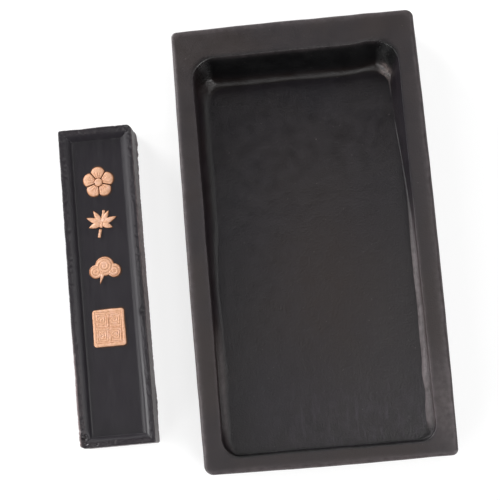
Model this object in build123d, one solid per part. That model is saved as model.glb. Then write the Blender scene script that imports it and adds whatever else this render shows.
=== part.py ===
from build123d import *
from math import cos, radians, sin, tan
import os

# Ink stick and inkstone set.
#
# The inkstone is one block of dark stone, ground flat, with a single sunken well: ink is rubbed on the
# long shallow floor and runs down a gentle slope to the pool at the far end. The ink stick is one
# moulded bar of soot and glue that lies beside the stone. Each face of the stick is a sunken panel
# inside a raised, mitred moulding, and the front panel carries three raised figures and a raised
# seal tablet, all gilt.
#
# Frame: the origin is the middle of the stone's underside and +Z is up. +Y runs along the stone towards
# the pool. The stick lies on the -X side. Sizes are millimetres and degrees.

# The stone's slab, which is a little fuller at the middle of each side than at its corners
stone_length = 130.0
stone_width = 72.1
stone_height = 18.0
stone_side_bow = 0.4
stone_end_bow = 0.25
stone_corner_radius = 1.5
stone_worn_corner_radius = 2.4
stone_top_ease = 0.6
stone_foot_ease = 0.5

# The well: the flat rim around it, the depth of its floor, and its walls
side_rim = 6.0
near_rim = 4.8
pool_rim = 9.3
near_corner_radius = 5.2
pool_corner_radius = 6.5
near_depth = 4.2
brow_depth = 6.4
pool_depth = 10.6
brow_to_pool_rim = 36.0
side_lean = 10.0
near_lean = 3.0
pool_lean = 24.0
cove_radius = 1.6
well_rim_ease = 0.3

# The ink stick's bar
stick_length = 94.5
stick_width = 22.2
stick_height = 10.5
stick_corner_radius = 0.5
stick_worn_corner_radius = 1.5
stick_edge_ease = 0.3
stick_side_bow = 0.15
stick_end_bow = 0.1

# The moulding and the panel on both of the stick's faces
crest_width = 0.9
bevel_width = 2.7
bevel_swell = 0.2
panel_depth = 1.3

# Where the stick lies
gap_to_stone = 14.05
stick_shift = -6.95
stick_turn = 0.4

# The gilt figures: the first one's middle from the head of the stick, then the steps to the next ones
relief_height = 0.55
relief_draft = 50.0
head_to_blossom = 16.6
figure_pitch = 12.65
cloud_to_seal = 18.2

petal_count = 5
petal_radius = 2.15
petal_ring_radius = 2.6
blossom_heart_radius = 1.5
blossom_heart_height = 0.65

bamboo_stem_radius = 0.5
bamboo_joint_length = 2.7
bamboo_joint_gap = 0.3
bamboo_stem_lean = -14.0
bamboo_leaf_length = 5.0
bamboo_leaf_width = 1.75
bamboo_leaf_angles = (-62.0, -28.0, 24.0, 58.0, 96.0)

cloud_crown_radius = 2.9
cloud_curl_radius = 2.05
cloud_curl_spread = 2.75
cloud_tail_length = 4.2
cloud_tail_width = 1.7

seal_width = 9.6
seal_length = 11.0
seal_corner_radius = 0.8
seal_border_width = 0.55
seal_border_inset = 0.6
seal_groove_depth = 0.2

OVERSHOOT = 1.0  # how far a cutting shape runs past the face that it cuts


def slab_outline(length, width, side_bow, end_bow, corner_radii):
    """Four shallow arcs that meet at four corners, each corner rounded with its own radius.

    The corners are taken from +X +Y round to +X -Y, and the radii come in the same order.
    """
    x, y = width / 2, length / 2
    corners = [(i * (x - side_bow), j * (y - end_bow)) for i, j in ((1, 1), (-1, 1), (-1, -1), (1, -1))]
    middles = [(0, y), (-x, 0), (0, -y), (x, 0)]
    sides = [
        ThreePointArc(start, middle, end)
        for start, middle, end in zip(corners, middles, corners[1:] + corners[:1])
    ]
    face = make_face(sides)
    for corner, radius in zip(corners, corner_radii):
        nearest = face.vertices().sort_by_distance((*corner, 0))[0]
        face = fillet(nearest, radius)
    return face


def well_section(depth):
    """The well's outline at this depth below the rim. It shrinks as the walls lean in."""
    side, near, pool = (depth * tan(radians(lean)) for lean in (side_lean, near_lean, pool_lean))
    x = stone_width / 2 - side_rim - side
    y_near = -stone_length / 2 + near_rim + near
    y_pool = stone_length / 2 - pool_rim - pool
    face = make_face(Polyline((-x, y_near), (x, y_near), (x, y_pool), (-x, y_pool), close=True))
    for y, radius in ((y_near, near_corner_radius), (y_pool, pool_corner_radius)):
        face = fillet(face.vertices().filter_by_position(Axis.Y, y - OVERSHOOT, y + OVERSHOOT), radius - side)
    return Pos(0, 0, stone_height - depth) * face


def well_floor():
    """Everything above the well's floor: a straight slope, then an arc that rolls down to the pool."""
    y_near = -stone_length / 2 + near_rim
    y_pool = stone_length / 2 - pool_rim
    y_brow = y_pool - brow_to_pool_rim
    rise = (brow_depth - near_depth) / (y_brow - y_near)
    start = (y_near - near_rim, stone_height - near_depth + near_rim * rise)
    slope = Line(start, (y_brow, stone_height - brow_depth))
    roll = TangentArc(slope @ 1, (y_pool, stone_height - pool_depth), tangent=slope % 1)
    top = stone_height + OVERSHOOT
    above = Polyline(roll @ 1, (y_pool, top), (start[0], top), start)
    profile = make_face([slope, roll, above])
    return extrude(Plane.YZ * profile, amount=stone_width / 2, both=True), y_brow


def well_void():
    """The space of the well: leaning walls, the sloping floor, and a cove all round where they meet."""
    deepest = pool_depth + OVERSHOOT
    walls = loft([well_section(-OVERSHOOT), well_section(deepest)], ruled=True)
    floor, y_brow = well_floor()
    void = walls & floor
    low = void.edges().filter_by(lambda edge: edge.bounding_box().max.Z < stone_height - near_depth / 2)
    brow = low.sort_by_distance((0, y_brow, stone_height - brow_depth))[0]
    return fillet([edge for edge in low if edge != brow], cove_radius)


def inkstone():
    """The slab with its edges eased and its well sunk."""
    radii = (stone_worn_corner_radius, stone_corner_radius, stone_corner_radius, stone_corner_radius)
    outline = slab_outline(stone_length, stone_width, stone_side_bow, stone_end_bow, radii)
    slab = extrude(outline, amount=stone_height)
    slab = fillet(slab.faces().sort_by(Axis.Z)[-1].edges(), stone_top_ease)
    slab = chamfer(slab.faces().sort_by(Axis.Z)[0].edges(), stone_foot_ease)
    stone = slab - well_void()
    rim = stone.faces().filter_by(Axis.Z).sort_by(Axis.Z)[-1]
    return fillet(rim.inner_wires()[0].edges(), well_rim_ease)


def moulding_profile(opening):
    """The cut across a face of the stick: a flat panel between swelling bevels, with z = 0 on the crest."""
    outer, inner = opening / 2, opening / 2 - bevel_width
    left = SagittaArc((-outer, 0), (-inner, -panel_depth), bevel_swell)
    right = SagittaArc((inner, -panel_depth), (outer, 0), bevel_swell)
    panel = Line(left @ 1, right @ 0)
    above = Polyline(right @ 1, (outer, OVERSHOOT), (-outer, OVERSHOOT), left @ 0)
    return make_face([left, panel, right, above])


def panel_tray():
    """What is cut from a face of the stick. Two profiles, run along and across, mitre where they meet."""
    across = Plane.XZ * moulding_profile(stick_width - 2 * crest_width)
    along = Plane.YZ * moulding_profile(stick_length - 2 * crest_width)
    return extrude(across, amount=stick_length / 2, both=True) & extrude(
        along, amount=stick_width / 2, both=True
    )


def ink_stick():
    """The moulded bar, with a sunken panel in its front and in its back. Two corners are rubbed round."""
    sharp, worn = stick_corner_radius, stick_worn_corner_radius
    outline = slab_outline(
        stick_length, stick_width, stick_side_bow, stick_end_bow, (worn, sharp, worn, sharp)
    )
    bar = extrude(outline, amount=stick_height)
    bar = fillet(bar.faces().filter_by(Axis.Z).edges(), stick_edge_ease)
    tray = panel_tray()
    return bar - Pos(0, 0, stick_height) * tray - Rot(0, 180, 0) * tray


def boss(radius, height):
    """A low round boss that stands on z = 0, with a sloping edge as its mould leaves it."""
    return extrude(Circle(radius), amount=height, taper=relief_draft)


def leaf(length, width, height):
    """A pointed leaf with a ridge: what two cones that stand side by side have in common.

    It starts at the origin and runs along +Y.
    """
    foot = (length**2 + width**2) / (4 * width)
    slope = width / 2 / height
    cone = Cone(foot, foot - slope * height, height, align=(Align.CENTER, Align.CENTER, Align.MIN))
    shift = foot - width / 2
    return Pos(shift, length / 2, 0) * cone & Pos(-shift, length / 2, 0) * cone


def stem_joint(length, radius):
    """One joint of a bamboo stem: half a round rod that lies on z = 0 along +Y from the origin."""
    rod = Rot(-90, 0, 0) * Cylinder(radius, length, align=(Align.CENTER, Align.CENTER, Align.MIN))
    return split(rod, Plane.XY, keep=Keep.TOP)


def blossom():
    """A plum blossom: round petals, and a heart that stands a little above them."""
    ring = PolarLocations(petal_ring_radius, petal_count, start_angle=90)
    petals = ring * boss(petal_radius, relief_height)
    heart = boss(blossom_heart_radius, blossom_heart_height)
    return fuse_all([*petals, heart])


def bamboo():
    """A spray of bamboo: a jointed stem, and leaves that spring from its middle knot."""
    pitch = bamboo_joint_length + bamboo_joint_gap
    joint = stem_joint(bamboo_joint_length, bamboo_stem_radius)
    stem = [
        Rot(0, 0, bamboo_stem_lean) * Pos(0, step * pitch - bamboo_joint_length, 0) * joint
        for step in (-0.5, 0.5, 1.5)
    ]
    one_leaf = leaf(bamboo_leaf_length, bamboo_leaf_width, relief_height)
    leaves = [Rot(0, 0, angle) * one_leaf for angle in bamboo_leaf_angles]
    return fuse_all(stem + leaves)


def cloud():
    """A cloud head: a broad crown, a curl on each side and a tail that trails away."""
    crown = boss(cloud_crown_radius, relief_height)
    curl = boss(cloud_curl_radius, relief_height)
    below = -cloud_crown_radius / 2
    curls = [Pos(side * cloud_curl_spread, below, 0) * curl for side in (-1, 1)]
    tail = Pos(0, below, 0) * Rot(0, 0, 160) * leaf(cloud_tail_length, cloud_tail_width, relief_height)
    return fuse_all([crown, *curls, tail])


def seal():
    """The seal tablet, with a sunken line that sets off its border."""
    block = extrude(RectangleRounded(seal_width, seal_length, seal_corner_radius), amount=relief_height)
    inset = 2 * (seal_border_width + seal_border_inset)
    outer = RectangleRounded(
        seal_width - 2 * seal_border_width, seal_length - 2 * seal_border_width, seal_corner_radius / 2
    )
    inner = Rectangle(seal_width - inset, seal_length - inset)
    groove = extrude(outer - inner, amount=OVERSHOOT)
    return block - Pos(0, 0, relief_height - seal_groove_depth) * groove


def fuse_all(pieces):
    """One solid out of pieces that overlap."""
    first, *rest = pieces
    return first.fuse(*rest).clean() if rest else first


def build_set():
    """Every piece where it lies, by its name."""
    stick_x = -(stone_width / 2 + gap_to_stone + stick_width / 2)
    lying = Pos(stick_x, stick_shift, 0) * Rot(0, 0, stick_turn)
    figure = lying * Pos(0, stick_length / 2 - head_to_blossom, stick_height - panel_depth)
    return {
        "inkstone": inkstone(),
        "ink_stick": lying * ink_stick(),
        "gilt_blossom": figure * blossom(),
        "gilt_bamboo": figure * Pos(0, -figure_pitch, 0) * bamboo(),
        "gilt_cloud": figure * Pos(0, -2 * figure_pitch, 0) * cloud(),
        "gilt_seal": figure * Pos(0, -2 * figure_pitch - cloud_to_seal, 0) * seal(),
    }


os.makedirs("parts", exist_ok=True)
for name, piece in build_set().items():
    export_step(piece, f"parts/{name}.step")
    box = piece.bounding_box()
    print(name, "from", box.min, "to", box.max, "volume", round(piece.volume, 1))
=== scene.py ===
# %% [markdown]
# # An ink stick and its inkstone
#
# The inkstone is a block of dark slate with one sunken well: a long, almost level floor to rub ink on, and
# a deeper pool at the far end where the ink gathers. Beside it lies a stick of solid ink, pressed in a
# carved mould, with gilt figures raised on its face.
#
# A measured model of the set exists already. This lesson loads it as a fixed frame, and then dresses it:
# each plain solid gets a surface with the small faults and worn edges of the real thing, and a finish.

# %% Load the measured model
import math

import bpy
import numpy as np
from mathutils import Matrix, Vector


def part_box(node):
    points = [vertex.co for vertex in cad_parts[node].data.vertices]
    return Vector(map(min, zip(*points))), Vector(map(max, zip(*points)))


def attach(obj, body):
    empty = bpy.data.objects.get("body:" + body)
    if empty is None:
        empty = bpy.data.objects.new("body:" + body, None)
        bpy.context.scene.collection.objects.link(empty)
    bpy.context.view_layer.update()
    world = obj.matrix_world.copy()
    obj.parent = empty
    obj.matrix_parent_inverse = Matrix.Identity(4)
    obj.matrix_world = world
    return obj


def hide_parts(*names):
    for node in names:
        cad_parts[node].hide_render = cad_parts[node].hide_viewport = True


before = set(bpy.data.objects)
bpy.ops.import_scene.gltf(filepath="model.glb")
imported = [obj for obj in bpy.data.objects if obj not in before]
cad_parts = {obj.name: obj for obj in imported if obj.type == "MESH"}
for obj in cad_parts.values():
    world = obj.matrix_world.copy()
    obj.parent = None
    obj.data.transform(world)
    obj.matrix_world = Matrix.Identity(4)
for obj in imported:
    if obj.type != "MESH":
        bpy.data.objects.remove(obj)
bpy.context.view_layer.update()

MM = 0.001  # every size below is in millimetres, and becomes metres when a mesh is made
stone_low, stone_high = (np.array(corner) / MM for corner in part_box("inkstone"))
stick_low, stick_high = (np.array(corner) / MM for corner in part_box("ink_stick"))
print("stone from", stone_low.round(2), "to", stone_high.round(2))
print("stick from", stick_low.round(2), "to", stick_high.round(2))

# %% [markdown]
# ## The camera
#
# Before anything is shaped, the camera goes where the photographer stood: about 40 cm above the table and a
# little towards the near end of the stone. It could be placed by eye, but the four corners of the stone in
# the picture fix its place, its aim and its lens, so those are written down once. The picture is also turned
# a few degrees, which is the roll.

# %% Place the camera
camera_place = np.array([0.907, -61.405, 403.37])
camera_aim = np.array([-17.707, -2.054, 18.0])
camera_roll = math.radians(-4.79)
camera_lens = 98.0


def unit(vector):
    """The same direction with a length of one."""
    return vector / np.linalg.norm(vector)


def aim_camera(place, aim, roll, lens):
    """A camera at place that looks at aim, turned by roll about its own line of sight."""
    forward = unit(aim - place)
    level_right = unit(np.cross(forward, [0.0, 1.0, 0.0]))
    level_up = np.cross(level_right, forward)
    right = math.cos(roll) * level_right + math.sin(roll) * level_up
    up = np.cross(right, forward)
    camera = bpy.data.objects.new("camera", bpy.data.cameras.new("camera"))
    camera.data.lens = lens
    camera.data.sensor_width = 36.0
    camera.data.clip_start = 0.01
    turned = np.eye(4)
    turned[:3, 0], turned[:3, 1], turned[:3, 2], turned[:3, 3] = right, up, -forward, place * MM
    camera.matrix_world = turned.T.tolist()
    bpy.context.scene.collection.objects.link(camera)
    return camera


camera = aim_camera(camera_place, camera_aim, camera_roll, camera_lens)
bpy.context.scene.camera = camera
print("camera is", round(float(np.linalg.norm(camera_aim - camera_place))), "mm from the stone's rim")

# %% [markdown]
# ## Rings: one way to make every piece
#
# Both pieces are slabs with rounded corners, and every level of them, from the foot to the bottom of the
# well, is a ring of the same kind. A rounded rectangle is a smaller rectangle that joins the centres of the
# four corner arcs, pushed out by the radius. If all rings use the same count of points for each side and
# each corner, point 17 of one ring belongs with point 17 of the next, and the skin between them is plain
# quads. The alternative, cutting blocks with other blocks, leaves ragged triangles that shade badly and
# can't be roughened by hand.

# %% The shared layout of a ring
def ring_layout(across, along, turn):
    """How each point of a ring hangs on the four corner centres, and which way is out.

    Corners are taken anticlockwise from +X +Y. Returns share (points x 4), the outward normal (points x 2),
    and swell, which is 0 at the corners and 1 at the middle of each side: 4 t (1 - t).
    """
    share, normal, swell = [], [], []
    for corner, count in enumerate((across, along, across, along)):
        angle = np.radians(90.0) * (corner + np.linspace(0, 1, turn))
        share.append(np.tile(np.eye(4)[corner], (turn, 1)))
        normal.append(np.stack([np.cos(angle), np.sin(angle)], 1))
        swell.append(np.zeros(turn))
        t = np.arange(1, count) / count
        share.append(np.outer(1 - t, np.eye(4)[corner]) + np.outer(t, np.eye(4)[(corner + 1) % 4]))
        normal.append(np.tile(normal[-1][-1], (count - 1, 1)))
        swell.append(4 * t * (1 - t))
    return np.concatenate(share), np.concatenate(normal), np.concatenate(swell)


def rounded_ring(layout, x_low, x_high, y_low, y_high, radii):
    """The points of a rounded rectangle: corner centres shared out, plus radius times normal."""
    share, normal, _ = layout
    radii = np.broadcast_to(np.asarray(radii, float), 4)
    x_side = np.array([x_high, x_low, x_low, x_high]) + radii * [-1, 1, 1, -1]
    y_side = np.array([y_high, y_high, y_low, y_low]) + radii * [-1, -1, 1, 1]
    centres = np.stack([x_side, y_side], 1)
    return share @ centres + (share @ radii)[:, None] * normal


def waver(turns, waves, seed, fade=1.0):
    """A smooth closed wobble of about -1 to 1: cosines of 1, 2, 3... waves round the ring.

    Each has its own phase, and the finer ones are smaller: cos(2 pi k s + phase) / k^fade.
    """
    random = np.random.default_rng(seed)
    k = np.arange(1, waves + 1)[:, None]
    size = 1 / k**fade
    phase = random.uniform(0, 2 * math.pi, (waves, 1))
    return (size * np.cos(2 * math.pi * k * turns + phase)).sum(0) / np.sqrt((size**2).sum())


def ring_turns(ring):
    """How far round the ring each point lies, from 0 to 1, by length."""
    step = np.linalg.norm(np.roll(ring, -1, 0) - ring, axis=1)
    return (np.cumsum(step) - step) / step.sum()


def smooth_step(low, high, value):
    """0 below low, 1 above high, and 3 t^2 - 2 t^3 between them."""
    t = np.clip((value - low) / (high - low), 0, 1)
    return t * t * (3 - 2 * t)


def hump(middle, reach, value):
    """A bell of height 1 at middle: exp(-((value - middle) / reach)^2)."""
    return np.exp(-(((value - middle) / reach) ** 2))


def lumps(points, size, seed, count=28):
    """A smooth lumpiness of about -1 to 1 at each point: the sum of many cosine waves.

    Each wave has its own direction and phase, and is 0.7 to 2 times size long, in millimetres.
    """
    random = np.random.default_rng(seed)
    ways = random.normal(size=(count, points.shape[-1]))
    ways *= 2 * math.pi / (np.linalg.norm(ways, axis=1) * size * random.uniform(0.7, 2.0, count))[:, None]
    phases = random.uniform(0, 2 * math.pi, count)
    return np.cos(points @ ways.T + phases).sum(-1) / math.sqrt(count / 2)


print("a ring with sides of 3 steps and corners of 2 points has", len(ring_layout(3, 3, 2)[0]), "points")


# %% From rings to a mesh
def ring_surface(rings, low_pole, high_pole):
    """Corners and faces of a closed skin over rings (levels x points x 3), shut by a point at each end.

    The rings run from the underside, up the outside and inwards over the top, each one anticlockwise from
    above, so that every quad looks outwards.
    """
    levels, points, _ = rings.shape
    corners = np.concatenate([rings.reshape(-1, 3), [low_pole], [high_pole]])
    here = np.arange(points)
    following = np.roll(here, -1)
    base = points * np.arange(levels - 1)[:, None]
    quads = np.stack([base + here, base + following, base + points + following, base + points + here], -1)
    last = points * (levels - 1)
    foot, crown = levels * points, levels * points + 1
    under = np.stack([following, here, np.full(points, foot)], -1)
    over = np.stack([last + here, last + following, np.full(points, crown)], -1)
    return corners, quads.reshape(-1, 4), np.concatenate([under, over])


def make_piece(name, surfaces, values, sharp):
    """A mesh object from closed surfaces in millimetres.

    values are named lists of one number per corner, and an edge that turns by more than sharp degrees is
    shaded as a sharp one.
    """
    corners, loops, sizes, offset = [], [], [], 0
    for points, quads, triangles in surfaces:
        corners.append(points)
        loops += [quads.ravel() + offset, triangles.ravel() + offset]
        sizes += [np.full(len(quads), 4), np.full(len(triangles), 3)]
        offset += len(points)
    corners, loops, sizes = np.concatenate(corners), np.concatenate(loops), np.concatenate(sizes)
    mesh = bpy.data.meshes.new(name)
    mesh.vertices.add(len(corners))
    mesh.vertices.foreach_set("co", (corners * MM).ravel())
    mesh.loops.add(len(loops))
    mesh.loops.foreach_set("vertex_index", loops)
    mesh.polygons.add(len(sizes))
    mesh.polygons.foreach_set("loop_start", np.cumsum(sizes) - sizes)
    mesh.update(calc_edges=True)
    mesh.polygons.foreach_set("use_smooth", np.ones(len(sizes), bool))
    mesh.set_sharp_from_angle(angle=math.radians(sharp))
    for label, numbers in values.items():
        mesh.attributes.new(label, "FLOAT", "POINT").data.foreach_set("value", numbers.astype(np.float32))
    mesh.validate()
    piece = bpy.data.objects.new(name, mesh)
    bpy.context.scene.collection.objects.link(piece)
    size = corners.max(0) - corners.min(0)
    print(name, "has", len(sizes), "faces and is", size.round(2), "mm")
    return piece


# %% [markdown]
# ## The inkstone's block
#
# The block was sawn and ground by hand, so its sides are a trifle fuller at the middle than at the corners,
# its long edges waver by a tenth of a millimetre, and its upper edge has been rubbed round. The rings climb
# from the underside over a small chamfer, up the side, and over that soft edge onto the rim.

# %% The outline of the block
stone_across, stone_along, stone_turn = 110, 210, 20
stone_layout = ring_layout(stone_across, stone_along, stone_turn)
stone_out = stone_layout[1]
stone_top = stone_high[2]
left_bow, right_bow, end_bow = 0.33, 0.5, 0.25
stone_corners = np.array([2.4, 1.6, 2.8, 1.8])
side_waver = 0.05


def stone_outline():
    """A rounded rectangle, swollen along each side by its bow and never outside the measured block."""
    ring = rounded_ring(
        stone_layout,
        stone_low[0] + left_bow,
        stone_high[0] - right_bow,
        stone_low[1] + end_bow,
        stone_high[1] - end_bow,
        stone_corners,
    )
    bow = np.where(stone_out[:, :1] < -0.5, left_bow, np.where(stone_out[:, :1] > 0.5, right_bow, end_bow))
    wobble = side_waver * (waver(ring_turns(ring), 46, seed=3, fade=0.5) - 0.1)
    return ring + stone_out * (bow * stone_layout[2][:, None] + np.minimum(wobble, 0)[:, None])


stone_edge = stone_outline()
print("the block's outline has", len(stone_edge), "points")

# %% The underside, the side and the rubbed upper edge
foot_chamfer = 0.5
top_ease, top_ease_waver, least_ease, most_ease = 0.8, 0.2, 0.45, 1.5
arc_part = 0.6
below_ease = 2.2


def block_rings():
    """Rings from the middle of the underside, up the upright side, to the rim.

    The upper edge is a mix of a quarter circle and its chord, as a stone rubbed on a flat grit is. With s
    from 0 to 1, a = 90 s degrees and k = arc_part, inset = e (k (1 - cos a) + (1 - k) s), and
    drop = e (k (1 - sin a) + (1 - k) (1 - s)).
    """
    middle = stone_edge.mean(0)
    turns = ring_turns(stone_edge)
    foot = stone_edge - stone_out * foot_chamfer
    rings = [np.c_[middle + (foot - middle) * size, np.zeros(len(foot))] for size in (0.3, 0.7, 0.97, 1.0)]
    for step in (0.08, 0.5, 0.92):
        rings.append(np.c_[foot + stone_out * foot_chamfer * step, np.full(len(foot), foot_chamfer * step)])
    ease = top_ease + top_ease_waver * waver(turns, 60, seed=8, fade=0.4)
    ease = np.clip(ease, least_ease, most_ease)
    for height in np.linspace(foot_chamfer, stone_top - below_ease, 12):
        rings.append(np.c_[stone_edge, np.full(len(foot), height)])
    for share in np.linspace(0, 1, 9):
        angle = share * math.pi / 2
        inset = ease * (arc_part * (1 - math.cos(angle)) + (1 - arc_part) * share)
        drop = ease * (arc_part * (1 - math.sin(angle)) + (1 - arc_part) * (1 - share))
        rings.append(np.c_[stone_edge - stone_out * inset[:, None], stone_top - drop])
    return rings


block = block_rings()
print("the block has", len(block), "rings up to the rim")

# %% [markdown]
# ## The well
#
# The well is what the stone is for. Its walls lean outwards a little as they rise, and meet the floor in a
# cove, so that a brush can wipe out every corner. The floor is a straight gentle slope for two thirds of the
# length and then rolls down to the pool.
#
# It could be cut out of the block with a Boolean, but then the cove could only be as regular as a machine
# makes it. Here the wall is a profile instead, drawn afresh at each point of the rim: how far it leans, how
# deep the floor is there and how round the cove is are all numbers that may change from point to point. So
# the right-hand wall can lean far out beside the pool, and end in a shallow ramp of bare stone in the near
# half, as it does on the real stone.

# %% The depth of the floor
side_rim, near_rim, pool_rim = 6.0, 4.8, 9.3
well_left, well_right = stone_low[0] + side_rim, stone_high[0] - side_rim
well_near, well_far = stone_low[1] + near_rim, stone_high[1] - pool_rim
near_depth, brow_depth, pool_depth = 4.2, 6.4, 10.6
brow_y = well_far - 36.0
floor_slope = (brow_depth - near_depth) / (brow_y - well_near)
pool_curve = (pool_depth - brow_depth - floor_slope * (well_far - brow_y)) / (well_far - brow_y) ** 2


def floor_depth(y):
    """Depth below the rim: a straight slope, and past the brow a parabola on top of it."""
    past = np.maximum(y - brow_y, 0)
    return near_depth + floor_slope * (y - well_near) + pool_curve * past**2


def floor_fall(y):
    """How fast the floor falls towards the pool, which is the slope of floor_depth."""
    return floor_slope + 2 * pool_curve * np.maximum(y - brow_y, 0)


print("the floor is", floor_depth(np.array([-55.0, 0.0, 50.0])).round(2), "mm deep at y = -55, 0 and 50")

# %% The rim of the well
pool_corner, near_left_corner, near_right_corner = 6.5, 5.4, 4.8
overcut_middle, overcut_reach, overcut = 21.5, 3.2, 0.55
rim_waver = 0.09


def rim_ring():
    """The well's upper edge: a rounded rectangle, with a chisel's slip near the right-hand pool corner."""
    corners = [pool_corner, pool_corner, near_left_corner, near_right_corner]
    ring = rounded_ring(stone_layout, well_left, well_right, well_near, well_far, corners)
    wobble = rim_waver * waver(ring_turns(ring), 40, seed=21, fade=0.7)
    pool_side = stone_out[:, 1] * (stone_out[:, 1] > 0.5)
    slip = overcut * hump(overcut_middle, overcut_reach, ring[:, 0]) * pool_side
    return ring + stone_out * (wobble + slip)[:, None]


rim = rim_ring()
facing_left, facing_right = np.clip(-stone_out[:, 0], 0, 1), np.clip(stone_out[:, 0], 0, 1)
facing_near, facing_far = np.clip(-stone_out[:, 1], 0, 1), np.clip(stone_out[:, 1], 0, 1)
bowl_reach = 4.5
corner_in = pool_corner * (1 - math.sqrt(0.5))
left_bowl, right_bowl = (
    hump(0, bowl_reach, np.hypot(rim[:, 0] - x, rim[:, 1] - well_far + corner_in))
    for x in (well_left + corner_in, well_right - corner_in)
)
pool_bowl = left_bowl + right_bowl
print("the well's rim is", np.ptp(rim, 0).round(2), "mm")

# %% How the wall leans
least_lean, left_opens, right_opens = 1.5, 3.5, 16.0
far_lean, near_lean, bowl_steep = 29.0, 5.0, 12.0


def wall_lean(y):
    """The wall's lean from upright at each rim point, in radians: a blend of the four sides' leans.

    The long sides open out towards the pool, and its two corners are steeper than what they join.
    """
    left = least_lean + left_opens * smooth_step(-25, 18, y)
    right = least_lean + right_opens * smooth_step(-2, 38, y)
    lean = left * facing_left**2 + right * facing_right**2
    return np.radians(lean + near_lean * facing_near**2 + far_lean * facing_far**2 - bowl_steep * pool_bowl)


leans = np.degrees(wall_lean(rim[:, 1]))
print("the wall leans by", leans.min().round(1), "to", leans.max().round(1), "degrees")


# %% What lies at the wall's foot
left_ramp_top, right_ramp_top = math.radians(24), math.radians(56)
left_crease, right_crease = math.radians(3), math.radians(16)
near_foot, far_foot, bowl_foot, foot_waver = 0.5, 2.1, 3.2, 0.10


def foot_shape(y, lean, turns):
    """What joins wall to floor at each rim point: its slope where the wall ends, its slope left over at the
    floor, both in radians, and its width.

    Round the pool this is a cove: it starts as steep as the wall and ends level with the floor. Along the
    near half of both long sides the tool left a shallow ramp of bare stone, which starts at a corner under
    the wall and ends in a crease. Each side has a ramp share of 0 to 1, and each number is mixed by it.
    """
    left_ramp = smooth_step(-10, -36, y) * smooth_step(-57, -51, y) * facing_left**2
    right_ramp = smooth_step(16, -4, y) * smooth_step(-58.5, -54.5, y) * facing_right**2
    notch = hump(-41, 3, y)
    wall = math.pi / 2 - lean
    top = wall + left_ramp * (left_ramp_top - wall) + right_ramp * (right_ramp_top - wall)
    left_over = left_crease * left_ramp + right_crease * right_ramp
    left = 2.3 + 1.0 * smooth_step(-8, 20, y) + 0.2 * left_ramp
    right = 0.12 + 0.58 * smooth_step(26, 8, y) * smooth_step(-59, -56, y)
    right = right + (0.8 + 0.3 * notch + 0.5 * smooth_step(-46, -52, y)) * right_ramp
    width = left * facing_left**2 + right * facing_right**2
    width = width + near_foot * facing_near**2 + far_foot * facing_far**2 + bowl_foot * pool_bowl
    return top, left_over, width * (1 + foot_waver * waver(turns, 24, seed=33, fade=0.6))


foot_width = foot_shape(rim[:, 1], np.radians(leans), ring_turns(rim))[2]
print("the wall's foot is", foot_width.min().round(2), "to", foot_width.max().round(2), "mm wide")


# %% The wall's profile
rim_round = 0.3


def well_profile(foot_y):
    """Distance in from the rim, and depth, for every level of the wall, as levels x points.

    The rim's edge is an arc of radius e that turns from level to the wall. The wall is a straight line. The
    foot is an arc from the slope top to the slope end, of radius width / (sin top - sin end), so it falls by
    radius (cos end - cos top). The wall stops that much above the floor.
    """
    y = rim[:, 1]
    turns = ring_turns(rim)
    lean = wall_lean(y)
    top, left_over, width = foot_shape(y, lean, turns)
    sharper = 1 - 0.6 * facing_right * smooth_step(4, 14, y)
    edge = rim_round * (1 + 0.3 * waver(turns, 50, seed=5, fade=0.3)) * sharper
    steep = math.pi / 2 - lean
    end = np.arctan(-stone_out[:, 1] * floor_fall(foot_y)) + left_over
    radius = width / (np.sin(top) - np.sin(end))
    wall_depth = floor_depth(foot_y) - radius * (np.cos(end) - np.cos(top))
    levels = []
    for share in np.linspace(0, 1, 6):
        turn = share * steep
        levels.append((edge * (np.sin(turn) - np.tan(steep / 2)), edge * (1 - np.cos(turn))))
    wall_start = levels[-1]
    wall_end = (wall_depth * np.tan(lean), wall_depth)
    for share in np.linspace(0, 1, 9)[1:]:
        levels.append(tuple(a + share * (b - a) for a, b in zip(wall_start, wall_end)))
    hub = (wall_end[0] + radius * np.sin(top), wall_end[1] - radius * np.cos(top))
    for share in np.linspace(0, 1, 15):
        turn = top + share * (end - top)
        levels.append((hub[0] - radius * np.sin(turn), hub[1] + radius * np.cos(turn)))
    return np.array(levels).swapaxes(0, 1)


print("the wall's profile has", well_profile(rim[:, 1]).shape[1], "levels")


# %% The wall in place
corner_shrink = np.array([2.4, 2.6, 0.9, 0.6])
arc_start = np.cumsum([0, stone_across, stone_along, stone_across]) + np.arange(4) * (stone_turn - 1)
arc_end = arc_start + stone_turn - 1
chatter_height, chatter_waves = 0.03, 9.0


def set_in(distance, depth):
    """Where each level of the wall lies, as levels x points x 2.

    Every level is a rounded rectangle of its own. Its corner centres come in from the sides by the walls'
    distances there, less the amount by which the corner's radius shrinks on the way down, and so on the pool
    side the corners become bowls. Along the straight sides a point keeps its own distance.
    """
    sides = [arc_start[0], arc_end[1], arc_start[2], arc_end[3]]
    ends = [arc_end[0], arc_start[1], arc_end[2], arc_start[3]]
    share = stone_layout[0].T
    shrink = corner_shrink * depth[:, sides] / depth[-1, sides]
    from_side, from_end = distance[:, sides], distance[:, ends]
    shift_x = (np.array([1, -1, -1, 1]) * (from_side - shrink)) @ share
    shift_y = (np.array([1, 1, -1, -1]) * (from_end - shrink)) @ share
    even = np.where(np.abs(stone_out[:, 0]) > 0.5, from_side @ share, from_end @ share)
    extra = (stone_layout[2] > 0) * (distance - even)
    return rim - np.stack([shift_x, shift_y], -1) - stone_out * (shrink @ share + extra)[..., None]


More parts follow.
